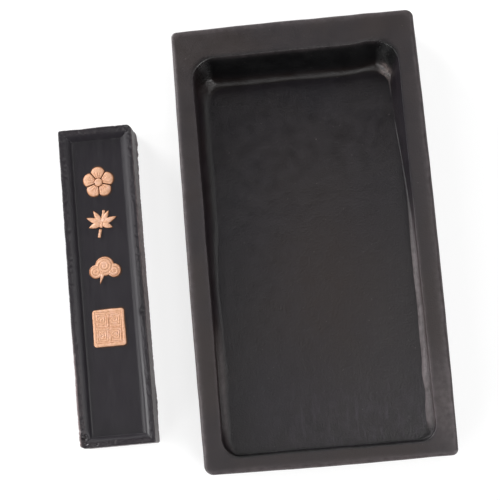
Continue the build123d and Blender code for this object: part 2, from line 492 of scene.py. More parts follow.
def make_wall():
    """The wall's rings, with the tool's faint chatter marks down them and a lumpy lower half.

    The foot's place and the floor's depth there hang on each other, so the profile is drawn five times, each
    time from the last foot.
    """
    foot_y = rim[:, 1]
    for _ in range(5):
        distance, depth = well_profile(foot_y)
        place = set_in(distance, depth)
        foot_y = place[-1, :, 1]
    amid = smooth_step(0.8, 2.0, depth) * smooth_step(0, 1.5, depth[-1] - depth)
    chatter = chatter_height * np.sin(depth * chatter_waves) * amid
    place = place - stone_out * chatter[..., None]
    rings = np.concatenate([place, stone_top - depth[..., None]], -1)
    held = smooth_step(0.3, 0.6, depth / depth[-1]) * smooth_step(0, 0.25, depth[-1] - depth)
    chipped_off = 0.05 * pool_bowl + 0.02 * smooth_step(16, -4, rim[:, 1]) * facing_right**2 + 0.015
    rings[..., 2] += held * chipped_off * lumps(rings, 2.0, seed=25)
    return rings


well_wall = make_wall()
print("the wall has", len(well_wall), "rings and its foot is", np.ptp(well_wall[-1], 0)[:2].round(2), "mm")


# %% The floor
floor_steps, crowding = 50, 1.6
plain_inset, plain_pool_inset, plain_corner = 3, 4, 6.0
tool_mark_depth, tool_mark_place, tool_mark_width = 0.08, 1.7, 0.45


def dished(x, y):
    """Small hollows rubbed into the floor: broad waves, and a dish in the middle, of about 0.1 mm."""
    waves = np.sin(x / 9.0 + 1.0) * np.sin(y / 17.0) + 0.6 * np.sin(x / 5.1 - y / 13.0)
    return 0.045 * waves + 0.10 * hump(-12, 30, y) * hump(0, 22, x)


def carve_floor():
    """Rings over the floor, and the point in its middle.

    They shrink to the middle, and on the way they change from the foot of the wall, with all its faults, to
    a plain rounded rectangle, so that no fault runs on across the floor as a crease. They are crowded near
    the wall: a ring at s of the way has 1 - s^crowding of the size.
    """
    foot = well_wall[-1, :, :2]
    middle = np.array([0.0, (well_near + well_far) / 2])
    x_low, x_high = well_left + plain_inset, well_right - plain_inset
    y_low, y_high = well_near + plain_inset, well_far - plain_pool_inset
    plain_foot = rounded_ring(stone_layout, x_low, x_high, y_low, y_high, plain_corner)
    kept = stone_top - well_wall[-1, :, 2] - floor_depth(foot[:, 1])
    sizes = (1 - np.linspace(0, 1, floor_steps)[1:-1] ** crowding)[:, None]
    faulty = smooth_step(0.78, 1.0, sizes)[..., None]
    spread = middle + sizes[..., None] * (faulty * foot + (1 - faulty) * plain_foot - middle)
    settle = 1 - smooth_step(0.75, 1.0, sizes)
    from_foot = np.linalg.norm(spread - foot, axis=-1)
    tool_mark = tool_mark_depth * hump(tool_mark_place, tool_mark_width, from_foot)
    tool_mark = tool_mark * pool_bowl * (0.3 + facing_left)
    bed = floor_depth(spread[..., 1]) + kept * sizes**8 - tool_mark
    bed = bed + settle * dished(spread[..., 0], spread[..., 1])
    floor = np.concatenate([spread, stone_top - bed[..., None]], -1)
    centre = [*middle, stone_top - floor_depth(middle[1]) - dished(*middle)]
    return floor, centre


well_floor, well_centre = carve_floor()
print("the floor has", len(well_floor), "rings")

# %% [markdown]
# ## Joining block and well
#
# Between the block's rubbed edge and the well's rim lies the flat rim itself. Its rings are simply shares of
# the way from one to the other. Each corner of the mesh also gets numbers that a finish can read: how worn
# it is, whether it lies in the well, what the ink has left there, and where shade, glints and highlights
# are painted into the colour. They are worked out from the same distances that made the shape, so wear
# follows every edge, and dried ink and painted shade lie on the right walls.

# %% How worn each corner is, and where a highlight is painted
edge_wear_reach, rim_wear_reach, rim_wear = 1.3, 0.45, 0.45


def stone_wear_and_highlight(flat, height, from_rim, walls, inwards):
    """How scuffed each corner is: exp(-(distance / reach)^2) on the block's edge and on the well's rim.

    The two bare ramps come next, where wear goes above 1. On the right-hand one the paleness is a painted
    highlight, with a thin painted line along its upper edge, and the left-hand one is a paler strip. Last the
    right-hand rim is made paler near its near end and along its outer edge.
    """
    y = rim[:, 1]
    upper = smooth_step(stone_top - 2.5, stone_top - 0.6, height)
    on_edge = hump(0, edge_wear_reach, np.linalg.norm(flat - stone_edge, axis=-1))
    on_rim = rim_wear * (1 - pool_bowl) * hump(0, rim_wear_reach, from_rim)
    wear = np.maximum(on_edge, on_rim) * upper
    # The right-hand ramp is painted pale as a highlight, with a thin painted line at its top; the left one is
    # a paler strip.
    right_ramp = 1.5 * (1 + 0.6 * hump(-40, 6, y)) * facing_right**2
    right_ramp = right_ramp * smooth_step(12, -8, y) * smooth_step(-58, -54, y)
    right_ramp = right_ramp * (0.2 + 0.8 * smooth_step(0.1, 0.8, inwards) + 0.3 * hump(0, 0.07, inwards))
    left_ramp = 0.7 * facing_left**2 * smooth_step(-20, -34, y) * hump(0.5, 0.22, inwards)
    wear[walls] = np.maximum(wear[walls] * (1 - facing_right) * (1 - facing_near), right_ramp + left_ramp)
    # Paler on the right-hand rim near its near end and along its outer edge.
    paler_near_right = hump(33, 5, flat[..., 0]) * hump(-50, 12, flat[..., 1])
    rubbed = 0.75 * paler_near_right + 0.25 * hump(36.5, 3, flat[..., 0])
    return wear + rubbed * upper * (height > stone_top - 0.1)


# %% What ink and dust have left in the well, and where shade and glints are painted
def stone_ink(flat, walls, inside, inwards, deep):
    """What ink and dust have left in the well, with painted shade and painted glints, as six numbers per
    corner. stone_numbers says what each is.
    """
    y = rim[:, 1]
    well, film, dust, thick, painted_glint, glaze = np.zeros((6, *flat.shape[:2]))
    bare_right = facing_right**2 * smooth_step(16, -2, y) * smooth_step(-59, -54, y)
    bare_left = facing_left**2 * (0.55 + 0.45 * smooth_step(-12, -26, y)) * smooth_step(1.0, 0.5, inwards)
    well[inside] = 1.0
    well[walls] -= bare_right + bare_left
    across, along = flat[inside][..., 0], flat[inside][..., 1]
    dust[inside] = smooth_step(-34, -56, along) * smooth_step(-30, 0, across)
    # The floor's brown film is also painted light: paler in the middle, away from the darker left-hand side.
    film[inside] = hump(3, 18, across) * hump(-13, 28, along)
    low = smooth_step(0.7, 0.95, deep)
    film[walls] = np.maximum(film[walls], low * facing_far**2)
    far_side = smooth_step(0.05, 0.5, facing_far)
    # Painted shade: near black down the left-hand wall by the pool and on the near wall's foot; the far
    # wall's is dried ink and painted shade.
    left_wall_shade = facing_left**2 * smooth_step(-25, 5, y) * hump(0.75, 0.2, inwards)
    thick[walls] = np.maximum((1 - 0.5 * low) * far_side + facing_near**2, 0.9 * left_wall_shade)
    turned_right = 0.1 + 0.8 * smooth_step(0.15, 0.65, facing_right)
    # Pale painted glints of lamp light in the pool's corners, most of all the right-hand one.
    painted_glint[walls] = (0.08 * left_bowl + turned_right * right_bowl) * smooth_step(0.6, 0.88, deep)
    smooth_ink = far_side * (0.7 - 1.6 * low) + 0.9 * pool_bowl * (1 - low)
    glaze[walls] = np.maximum(smooth_ink, 1.3 * painted_glint[walls])
    return {"well": well, "film": film, "dust": dust, "thick": thick, "painted_glint": painted_glint, "glaze": glaze}


# %% All the stone's numbers together
def stone_numbers(rings, first_rim, first_wall):
    """Eight numbers per corner, from 0 to 1 where nothing else is said.

    wear: how scuffed it is, and on the right-hand ramp, where it goes up to 2.4, a painted highlight.
    sawn: the block's four sides.
    well: where ink has soaked in, which is the floor and the walls, but not the bare ramps.
    film: a brown film of dried ink, rubbed into the middle of the floor and left on the foot of the far wall.
    On the floor it is also painted light, paler in the middle where the floor is lit more.
    dust: the near end of the floor, which is scratched and dusty.
    thick: walls painted near black. On the far one this is dried ink and painted shade, and on the foot of
    the near one and the left one beside the pool it is painted shade.
    painted_glint: pale painted glints of lamp light in the two corners of the pool, most of all the
    right-hand one.
    glaze: where dried ink has set smooth, up to 1.6, which is the far wall's upper part and the pool's two
    corners. Down at the far wall's foot it is 0, because there the ink has dried dull.
    """
    flat, height = rings[..., :2], rings[..., 2]
    walls, inside = slice(first_wall, first_wall + len(well_wall)), slice(first_wall, None)
    from_rim = np.linalg.norm(flat - rim, axis=-1)
    inwards = from_rim[walls] / from_rim[walls][-1]
    deep = (stone_top - height[walls]) / (stone_top - height[walls][-1])
    sawn = smooth_step(stone_top - 0.6, stone_top - 1.6, height)
    sawn[first_rim:] = 0.0
    wear = stone_wear_and_highlight(flat, height, from_rim, walls, inwards)
    return {"wear": wear, "sawn": sawn, **stone_ink(flat, walls, inside, inwards, deep)}


# %% The inkstone as one skin
rim_steps = 7
rim_from, rim_to = block[-1], well_wall[0]
rim_rings = [rim_from + share * (rim_to - rim_from) for share in np.linspace(0, 1, rim_steps + 1)[1:-1]]
stone_rings = np.array([*block, *rim_rings, *well_wall, *well_floor])
stone_values = {
    label: np.append(numbers.ravel(), [0.0, numbers[-1].mean()])
    for label, numbers in stone_numbers(stone_rings, len(block), len(block) + len(rim_rings)).items()
}
for label, numbers in stone_values.items():
    print(label, "runs from", numbers.min().round(2), "to", numbers.max().round(2))
stone_surface = ring_surface(stone_rings, [*stone_edge.mean(0), 0.0], well_centre)
inkstone = make_piece("slate_inkstone", [stone_surface], stone_values, sharp=40)
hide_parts("inkstone")
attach(inkstone, "stone")

# %% [markdown]
# ## The ink stick
#
# Soot and glue are kneaded, pressed in a wooden mould and dried for months. The mould leaves a frame round
# each face: a narrow crest, then a swelling bevel that falls to a sunken panel, mitred at the corners like
# a picture frame. Drying warps the bar a little, the crest chips, and where the mould's halves met a ragged
# fin stands out from the side. The rings are the stone's again, but they run over two framed faces.

# %% The stick's outline
stick_layout = ring_layout(across=84, along=380, turn=9)
stick_out = stick_layout[1]
stick_length, stick_width, stick_height = 94.5, 22.2, stick_high[2]
stick_corners = np.array([1.5, 0.5, 1.5, 0.5])
stick_turn = math.radians(0.4)
stick_middle = (stick_low + stick_high)[:2] / 2
left_swell, right_plump = 0.12, 0.9
crest_width, panel_depth = 0.75, 1.3
left_bevel, right_bevel, head_bevel, tail_bevel = 3.3, 3.1, 3.2, 2.6
left_steepest, right_steepest, end_steepest = 0.8, 0.48, 0.8


def bevel_place(fallen, steepest):
    """How far over a bevel the surface has fallen by a share of the panel's depth.

    A bevel leaves the crest level, is steepest at a of the way, and eases onto the panel. Its fall is u^2 / a
    up to there and 1 - (1 - u)^2 / (1 - a) after it. This is that rule turned round: u from the fall.
    """
    before, after = np.sqrt(steepest * fallen), 1 - np.sqrt((1 - steepest) * (1 - fallen))
    return np.where(fallen < steepest, before, after)


def stick_outline(inset, fallen, radii, wander):
    """A ring of the stick in its own axes: inset from its outline, then out over the bevels to a share of
    their fall. The left side is fuller at its middle, and the right-hand bevel is plump near the tail.
    """
    x, y, over_end = stick_width / 2 - inset, stick_length / 2 - inset, bevel_place(fallen, end_steepest)
    x_low = -x + left_bevel * bevel_place(fallen, left_steepest) + left_swell
    x_high = x - right_bevel * bevel_place(fallen, right_steepest)
    y_low, y_high = tail_bevel * over_end - y, y - head_bevel * over_end
    ring = rounded_ring(stick_layout, x_low, x_high, y_low, y_high, radii)
    fuller = np.where(stick_out[:, 0] < -0.5, left_swell, 0.0)
    wobble = wander * waver(ring_turns(ring), 44, seed=12, fade=0.6)
    plump = right_plump * fallen * (1 - fallen) * (stick_out[:, 0] > 0.5) * smooth_step(-10, -35, ring[:, 1])
    return ring + stick_out * (fuller * stick_layout[2] + np.minimum(wobble, 0) + plump)[:, None]


stick_edge = stick_outline(0, 0.0, stick_corners, 0.07)
print("the stick's outline has", len(stick_edge), "points")

# %% The framed faces
edge_ease = 0.4
panel_corner = 0.12
panel_rings = 8
warp_rise = 0.2
crest_sink = 0.25


def frame_levels():
    """Inset, share fallen and drop for each level of a framed face, from the outer edge to the panel.

    The outer edge is a quarter circle, and the levels of the bevel lie closest at its top and its foot.
    """
    levels = []
    for angle in np.radians(np.linspace(0, 90, 6)):
        levels.append((edge_ease * (1 - math.cos(angle)), 0.0, edge_ease * (1 - math.sin(angle))))
    levels.append((crest_width * 0.75, 0.0, 0.0))
    for fallen in smooth_step(0, 1, np.linspace(0, 1, 23)):
        levels.append((crest_width, fallen, panel_depth * fallen))
    levels.append((crest_width + 0.5, 1.0, panel_depth))
    return levels


def sink(x):
    """How much lower the right-hand crest lies than the left-hand one."""
    return crest_sink * smooth_step(2, 9, x)


def warp(x, fallen):
    """How much the panel curls up towards its left-hand edge: rise times the square of the way there.

    The way starts 1.5 mm left of the middle, and the curl fades out over the bevel.
    """
    curl = np.clip((-x - 1.5) / (stick_width / 2 - crest_width - left_bevel - 1.5), 0, None)
    return warp_rise * curl**2 * smooth_step(0, 1, fallen)


def framed_face():
    """Rings of one face from its outer edge inwards, and how far each one drops."""
    rings, drops = [], []
    for inset, fallen, drop in frame_levels():
        keep = max(0.0, 1 - inset / crest_width)
        radii = panel_corner + keep * (stick_corners - panel_corner)
        ring = stick_outline(inset, fallen, radii, 0.05 + 0.02 * keep)
        rings.append(ring)
        drops.append(drop - warp(ring[:, 0], fallen))
    inner = rings[-1]
    for size in np.linspace(1, 0, panel_rings + 2)[1:-1]:
        rings.append(inner * size)
        drops.append(panel_depth - warp(inner[:, 0] * size, 1.0))
    return np.array(rings), np.array(drops)


face_rings, face_drops = framed_face()
print("a framed face has", len(face_rings), "rings")


# %% The mould's fin
fin_height, fin_thickness = 1.3, 0.9
fins = [(-35.0, 4.5, 0.35), (-5.0, 1.5, 0.25), (41.0, 8.0, 0.45)]  # middle, reach, how far it stands out


def fin(ring, height):
    """The mould's fin: it stands out of the right-hand side in three ragged patches, low and thin."""
    patches = sum(size * hump(middle, reach, ring[:, 1]) for middle, reach, size in fins)
    ragged = 1 + 0.2 * waver(ring_turns(ring), 120, seed=40, fade=0.3)
    return np.clip(stick_out[:, 0], 0, 1) * patches * ragged * hump(fin_height, fin_thickness, height)


print("the fin stands out by about", max(size for _, _, size in fins), "mm in", len(fins), "patches")

# %% [markdown]
# ### Chips and crumbled edges
#
# A chip is a bell-shaped dent pushed straight down into the crest. A few are enough, in the places where
# the real stick has them: at the near left and the far right corner, and along both long crests. Besides,
# the crests and the sides are rough all round, more so on the right and most of all at the left of the tail,
# so they lose a little in lumps.

# %% Chips, crumbs and the stick's place
chips = [  # x, y, reach, depth
    (-9.4, -44.2, 0.8, 0.8),
    (-10.6, -42.0, 0.6, 0.4),
    (10.4, 46.4, 1.1, 0.6),
    (-10.8, -20.0, 0.5, 0.25),
    (10.6, -29.5, 0.6, 0.3),
    (10.8, -9.0, 1.1, 0.7),
]
crumb_depth, crumb_size, fine_crumb_size = 0.15, 1.5, 0.7
side_rings = 14


def chipped(x, y):
    """How deep the crest is dented at each point: the sum of depth exp(-distance^2 / reach^2)."""
    dent = np.zeros_like(x)
    for chip_x, chip_y, reach, depth in chips:
        dent += depth * np.exp(-((x - chip_x) ** 2 + (y - chip_y) ** 2) / reach**2)
    return dent


def turned(points, angle):
    """Points (x, y) turned anticlockwise about the origin: (x c - y s, x s + y c)."""
    c, s = math.cos(angle), math.sin(angle)
    return points @ np.array([[c, s], [-s, c]])


def lay_stick(points):
    """Points in the stick's own axes, turned and carried to where the stick lies."""
    return np.concatenate([turned(points[..., :2], stick_turn) + stick_middle, points[..., 2:]], -1)


def over_stick(on_frame, on_side, on_back=1.0):
    """One number per ring of the stick, from the numbers of a frame's levels. The panels get 0.

    on_side is the number for the upright side, and on_back multiplies the numbers of the frame on the back.
    """
    face = np.append(on_frame, np.zeros(panel_rings))
    return np.concatenate([on_back * face[::-1], np.full(side_rings, on_side), face])[:, None]


def crumble(rings):
    """The crests and sides with lumps taken off: down on the face, up on the back, inwards on the sides."""
    inset, fallen, drop = np.array(frame_levels()).T
    outwards = np.where(inset < edge_ease + 0.01, drop / edge_ease, 0.0)
    upwards = (1 - outwards) * smooth_step(0.25, 0.02, fallen)
    x, y = rings[..., 0], rings[..., 1]
    roughness = 0.25 + 0.2 * smooth_step(3, 9, x) + 0.75 * smooth_step(-30, -44, y) * smooth_step(4, -6, x)
    uneven = lumps(rings, crumb_size, seed=71) + 0.6 * lumps(rings, fine_crumb_size, seed=72)
    loss = crumb_depth * roughness * np.clip(uneven, 0, 2)
    crumbled = rings.copy()
    crumbled[..., :2] -= stick_out * (loss * over_stick(outwards, 1.0))[..., None]
    crumbled[..., 2] -= loss * over_stick(upwards, 0.0, -1.0)
    return crumbled


# %% The stick's rings and the numbers for its finish
def stick_rings():
    """Rings from the middle of the back, out over its frame, up the side and in over the front."""
    back = [np.c_[ring, drop] for ring, drop in zip(face_rings[::-1], face_drops[::-1])]
    sides = []
    for height in np.linspace(edge_ease, stick_height - edge_ease, side_rings + 2)[1:-1]:
        ring = stick_edge + stick_out * fin(stick_edge, height)[:, None]
        sides.append(np.c_[ring, np.full(len(ring), height)])
    front = []
    for ring, drop in zip(face_rings, face_drops):
        kept = 1 - drop / panel_depth
        front.append(np.c_[ring, stick_height - drop - chipped(*ring.T) - kept * sink(ring[:, 0])])
    return crumble(np.array(back + sides + front))


def stick_numbers(rings):
    """Four numbers per corner, from 0 to about 1.

    wear: on the crests and half as much on the sides, most of all on the left near the tail.
    painted_shade: shade painted dark at the foot of every bevel but the right-hand one, in the chips, and
    along a stretch of the right-hand crest.
    side: the broken, matt skin of the sides. It is strongest on the right, where it is also painted light,
    and there it comes up onto the crest's edge as a painted highlight.
    polish: the right-hand bevel near the tail.
    """
    inset, fallen, drop = np.array(frame_levels()).T
    x, y = rings[..., 0], rings[..., 1]
    on_left, on_right = stick_out[:, 0] < -0.5, stick_out[:, 0] > 0.5
    # A stretch of the right-hand crest is painted dark, as painted shade.
    dark_stretch = hump(-4, 12, y)
    crest = over_stick(smooth_step(0.35, 0.0, fallen), 0.5)
    rubbed_away = np.where(on_right, 0.15, np.where(on_left, 0.25 + 0.75 * smooth_step(-5, -30, y), 0.45))
    side = over_stick(np.where(inset < edge_ease + 0.01, drop / edge_ease, 0.0), 1.0)
    # On the right the crest's outer edge is painted pale, a painted highlight, and the side is paler as
    # painted light.
    edge = over_stick(smooth_step(0.4, 0.15, inset), 1.0) * on_right * smooth_step(-25, -10, y)
    side = np.maximum(side, edge * (1 - dark_stretch))
    side = side * np.where(on_right, 0.35 + 0.65 * hump(4, 20, y), 0.25)
    side = side + over_stick(hump(0.25, 0.25, inset) * (fallen == 0), 0.0) * on_left * smooth_step(-8, -30, y)
    # Painted shade at the foot of the bevels and in the chips.
    foot = over_stick(hump(0.97, 0.12, fallen), 0.0) * ~on_right
    shadow = np.clip(3 * chipped(x, y) + 1.5 * dark_stretch * on_right, 0, 1)
    painted_shade = np.maximum(foot, over_stick(smooth_step(0.3, 0, fallen), 0.0, 0.0) * shadow)
    flank_of_bevel = over_stick(smooth_step(0.0, 0.3, fallen) * smooth_step(1.0, 0.8, fallen), 0.0)
    polish = flank_of_bevel * on_right * smooth_step(-12, -30, y)
    labelled = {"wear": crest * rubbed_away, "painted_shade": painted_shade, "side": side, "polish": polish}
    return {label: np.append(numbers.ravel(), [0.0, 0.0]) for label, numbers in labelled.items()}


# %% The ink stick as one skin
bar_rings = stick_rings()
bar_values = stick_numbers(bar_rings)
for label, numbers in bar_values.items():
    print(label, "runs from", numbers.min().round(2), "to", numbers.max().round(2))
back_pole = lay_stick(np.array([0.0, 0.0, panel_depth]))
front_pole = lay_stick(np.array([0.0, 0.0, stick_height - panel_depth]))
bar_surface = ring_surface(lay_stick(bar_rings), back_pole, front_pole)
ink_stick = make_piece("pressed_ink_stick", [bar_surface], bar_values, sharp=50)
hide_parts("ink_stick")
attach(ink_stick, "stick")

# %% [markdown]
# ## Raised figures
#
# The mould also leaves figures standing on the panel, and these are brushed with gold afterwards. Each is a
# low relief, so each is made the same way: an outline, rings that shrink from it to its middle, and a height
# that depends on where a point lies and how near the edge it is. One rule for the edge serves all of them:
# the flank rises steeply and rounds over, because a wooden mould can't hold a sharp step. A thin skirt of
# spilt paint lies round the foot. The brush touches what stands up and skips what is low, so the paint is
# simply a share of the height.

# %% A relief from an outline and a height
relief_height = 0.55
panel_top = stick_height - panel_depth
sunk = 0.06
spilt_film = 0.03
bare_height, painted_height = 0.06, 0.5


def flank(share):
    """The rise from the edge, where share is 1, to the top: (1 - share^9)^(1/2), and nothing outside."""
    return np.sqrt(np.clip(1 - share**9, 0, 1))


def relief(outline, middle, height, place, steps, skirt=0.07):
    """A closed relief. Rings shrink from a skirt round the outline to the middle, denser near the edge.

    height(x, y, share) gives millimetres above the panel, where share is 1 at the edge and 0 at the middle.
    The skirt is a film that reaches a little past the edge.
    """
    inside = 1 - np.linspace(0, 1, steps)[:-1] ** 1.7
    share = np.concatenate([[1 + skirt, 1 + 0.7 * skirt, 1 + 0.3 * skirt], inside])
    film = spilt_film * smooth_step(1 + skirt, 1 + 0.3 * skirt, share)
    spread = middle + share[:, None, None] * (outline - middle)
    lift = np.maximum(height(spread[..., 0], spread[..., 1], share[:, None]), film[:, None])
    lift = np.broadcast_to(lift, spread.shape[:2])
    base = np.c_[spread[0], np.full(len(outline), -sunk)]
    rings = np.concatenate([[base], np.concatenate([spread, lift[..., None]], -1)])
    top = float(np.ravel(height(middle[0], middle[1], np.zeros(1)))[0])
    corners, quads, triangles = ring_surface(rings, np.array([*middle, -sunk]), np.array([*middle, top]))
    paint = smooth_step(bare_height, painted_height, corners[:, 2])
    return (lay_stick(corners + [*place, panel_top]), quads, triangles), paint


def gild(name, node, parts):
    """One gilt piece from its reliefs, in the place of the plain node."""
    surfaces, paint = zip(*parts)
    piece = make_piece(name, surfaces, {"paint": np.concatenate(paint)}, sharp=60)
    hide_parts(node)
    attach(piece, "stick")
    return piece


head_to_blossom, figure_pitch, cloud_to_seal = 16.6, 12.65, 18.2
blossom_place = np.array([0.0, stick_length / 2 - head_to_blossom])
bamboo_place = blossom_place - [0, figure_pitch]
cloud_place = bamboo_place - [0, figure_pitch]
seal_place = cloud_place - [0, cloud_to_seal]

# %% [markdown]
# ### The plum blossom
#
# Five round petals round a button. The outline is the far edge of five circles. A ray from the middle leaves
# a circle of radius a, whose centre is c away, at c cos(f) + sqrt(a^2 - c^2 sin^2(f)), where f is the angle
# between the ray and the centre. Fine lines for the stamens are pressed into each petal.

# %% Make the blossom
petal_radius, petal_ring = 2.2, 2.6
petal_lines = math.pi / 2 + 2 * math.pi / 5 * np.arange(5)
heart_radius = 1.15
stamen_tilts = (-0.28, 0.0, 0.28)
stamen_depth = 0.16


def from_petal_line(angle):
    """The angle from the middle line of the nearest petal. The first petal points to the head."""
    slice_angle = 2 * math.pi / 5
    return (angle - math.pi / 2 + slice_angle / 2) % slice_angle - slice_angle / 2


def far_edge(circles, count):
    """The farthest edge of circles (x, y, radius) along each ray from the origin, as a ring of points.

    A circle's centre is ahead along the ray, and its edge sqrt(radius^2 - centre^2 + ahead^2) past that.
    """
    angle = np.linspace(0, 2 * math.pi, count, endpoint=False)
    ray = np.stack([np.cos(angle), np.sin(angle)])
    ahead = circles[:, :2] @ ray
    room = circles[:, 2:] ** 2 - (circles[:, :2] ** 2).sum(1)[:, None] + ahead**2
    reach = np.where(room > 0, ahead + np.sqrt(np.clip(room, 0, None)), 0).max(0)
    return (ray * reach).T


def blossom_height(x, y, share):
    """Domed petals with a crease between them, stamens pressed in, and a ringed button in the middle."""
    far, off = np.hypot(x, y), from_petal_line(np.arctan2(y, x))
    beside = far * np.sin(off)
    out = np.hypot(far * np.cos(off) - petal_ring, beside) / petal_radius
    dome = 0.62 + 0.38 * np.sqrt(np.clip(1 - 0.9 * out**2, 0, 1))
    crease = hump(0, 0.20, far * np.sin(math.pi / 5 - np.abs(off))) * smooth_step(0.8, 1.6, far)
    reaching = smooth_step(1.1, 1.4, far) * smooth_step(3.2, 2.9, far)
    lines = sum(hump(tilt * far, 0.10, beside) for tilt in stamen_tilts)
    button = smooth_step(heart_radius + 0.15, heart_radius - 0.2, far)
    ring = hump(heart_radius + 0.12, 0.14, far)
    body = relief_height * dome * (1 - 0.85 * crease) - stamen_depth * lines * reaching
    return flank(share) * (body * (1 - button) + 0.62 * button - 0.3 * ring)


petals = np.c_[petal_ring * np.cos(petal_lines), petal_ring * np.sin(petal_lines), np.full(5, petal_radius)]
blossom = relief(far_edge(petals, 400), np.zeros(2), blossom_height, blossom_place, steps=44)
gilt_blossom = gild("gold_blossom", "gilt_blossom", [blossom])

# %% [markdown]
# ### The spray of bamboo
#
# A stem of three joints and a handful of leaves. A leaf is drawn along its own line, with half its width
# equal to w sin(pi t)^0.8 at t of the way along, pulled towards the foot so that the tip is long. It bends
# sideways as it goes, by b t^2, because a straight leaf looks cut out of tin.

# %% Make the bamboo
leaf_length, leaf_width = 5.0, 1.75
leaf_facts = [  # degrees anticlockwise from the head, share of the length, sideways bend
    (-62, 1.0, 0.5),
    (-28, 0.92, 0.3),
    (24, 0.95, -0.3),
    (58, 1.0, -0.5),
    (96, 0.8, -0.4),
    (-104, 0.7, 0.4),
]
stem_facts = [(-4.2, 2.7), (-1.2, 2.7), (1.8, 2.5)]  # where each joint starts, and its length
stem_lean = math.radians(-14)
stem_half_width, stem_corner, stem_height = 0.5, 0.35, 0.48


def leaf_outline(length, width, bend, count=60):
    """Up one side of the leaf and down the other, as points (across, along)."""
    t = np.linspace(0, 1, count)
    half = width / 2 * np.sin(math.pi * t**0.75) ** 0.8
    middle = bend * t**2
    right = np.stack([middle + half, length * t], 1)
    left = np.stack([middle - half, length * t], 1)[::-1]
    return np.concatenate([right, left[1:-1]])


def leaf_relief(angle, scale, bend, place):
    """One leaf with a ridge along its middle, springing from place."""
    own = leaf_outline(leaf_length * scale, leaf_width, bend)
    swung = math.radians(angle)

    def height(x, y, share):
        return relief_height * (0.55 + 0.45 * (1 - share**2)) * flank(share)

    outline = turned(own, swung)
    return relief(outline, outline.mean(0), height, place, steps=16, skirt=0.1)


def stem_relief(start, length, place):
    """One joint of the stem: a narrow bar, pinched in at its middle."""
    layout = ring_layout(across=6, along=24, turn=6)
    ring = rounded_ring(layout, -stem_half_width, stem_half_width, start, start + length, stem_corner)
    waist = 1 - 0.18 * np.sin(np.pi * (ring[:, 1] - start) / length)
    ring[:, 0] *= waist
    outline = turned(ring, stem_lean)

    def height(x, y, share):
        return stem_height * (0.7 + 0.3 * (1 - share**2)) * flank(share)

    return relief(outline, outline.mean(0), height, place, steps=12, skirt=0.12)


bamboo_parts = [stem_relief(start, length, bamboo_place) for start, length in stem_facts]
bamboo_parts += [leaf_relief(*facts, bamboo_place) for facts in leaf_facts]
gilt_bamboo = gild("gold_bamboo", "gilt_bamboo", bamboo_parts)

# %% [markdown]
# ### The cloud head
#
# A cloud in old ornament is a broad crown with a curl at each side and a tail. Its outline is the far edge
# of circles again, this time of different sizes: one for the crown, one for each curl, and a row of
# shrinking ones for the tail. Spiral lines are pressed into the crown and the curls. With R the distance from
# a circle's centre and p the pitch, a line runs half-way between whole numbers of R / p - angle / (2 pi).

# %% Make the cloud
cloud_circles = np.array([[0.0, 0.0, 2.9], [-2.75, -1.45, 2.05], [2.75, -1.45, 2.05]])
tail_along = np.linspace(0, 5.3, 16)
tail_angle, tail_width, tail_taper = math.radians(-108), 1.1, 0.19
spiral_pitch, spiral_depth = 0.85, 0.17


def cloud_height(x, y, share):
    """A dome with spiral lines in the crown and the curls."""
    lines = np.zeros_like(x)
    for (centre_x, centre_y, radius), way in zip(cloud_circles, (1, 1, -1)):
        far, angle = np.hypot(x - centre_x, y - centre_y), np.arctan2(y - centre_y, x - centre_x)
        phase = (far / spiral_pitch - way * angle / (2 * math.pi)) % 1
        inside = smooth_step(radius * 0.92, radius * 0.8, far)
        lines = np.maximum(lines, inside * hump(0.5, 0.16, phase))
    return flank(share) * (relief_height * (0.8 + 0.2 * (1 - share**2)) - spiral_depth * lines)


tail_x, tail_y = tail_along * math.cos(tail_angle), tail_along * math.sin(tail_angle)
tail = np.c_[tail_x, tail_y, tail_width - tail_taper * tail_along]
cloud_edge = far_edge(np.concatenate([cloud_circles, tail]), 420)
cloud = relief(cloud_edge, np.zeros(2), cloud_height, cloud_place, steps=48)
gilt_cloud = gild("gold_cloud", "gilt_cloud", [cloud])

# %% [markdown]
# ### The fretted tablet
#
# Under the figures is a tablet the size of a seal, with a border and four square spirals, the oldest of all
# fret patterns. A square spiral is the round one with the distance measured as the larger of |x| and |y|,
# and the angle as the way round the square.

# %% Make the tablet
tablet_width, tablet_length, tablet_corner, tablet_waver = 9.6, 11.0, 0.9, 0.07
border = 0.95
spiral_turns = 3.6
fret_depth = 0.15
tablet_layout = ring_layout(across=110, along=126, turn=8)


def square_spiral(x, y, half_x, half_y):
    """The phase of a square spiral, 0 to 1: turns times the distance as a share of the half size, less the
    share of a turn.
    """
    across, along = x / half_x, y / half_y
    far = np.maximum(np.abs(across), np.abs(along)) + 1e-9
    right, up = across / far, along / far
    on_sides = np.abs(across) >= np.abs(along)
    way = np.where(on_sides, np.where(across > 0, up, 4 - up), np.where(along > 0, 2 - right, 6 + right))
    return (far * spiral_turns - way / 8) % 1


def tablet_height(x, y, share):
    """A flat top with a line inside the border and four spirals pressed in, one in each quarter."""
    field_x, field_y = tablet_width / 2 - border, tablet_length / 2 - border
    inner = np.minimum(field_x - np.abs(x), field_y - np.abs(y))
    half_x, half_y = field_x / 2, field_y / 2
    cell_x, cell_y = np.abs(x) - half_x, np.abs(y) - half_y
    phase = square_spiral(cell_x * np.sign(x * y + 1e-9), cell_y, half_x * 1.02, half_y * 1.02)
    spiral = hump(0.5, 0.17, phase) * smooth_step(0.05, 0.25, inner)
    line = hump(0.0, 0.12, inner)
    steep_flank = np.sqrt(np.clip(1 - share**26, 0, 1))
    return steep_flank * (relief_height - fret_depth * np.maximum(spiral, line))


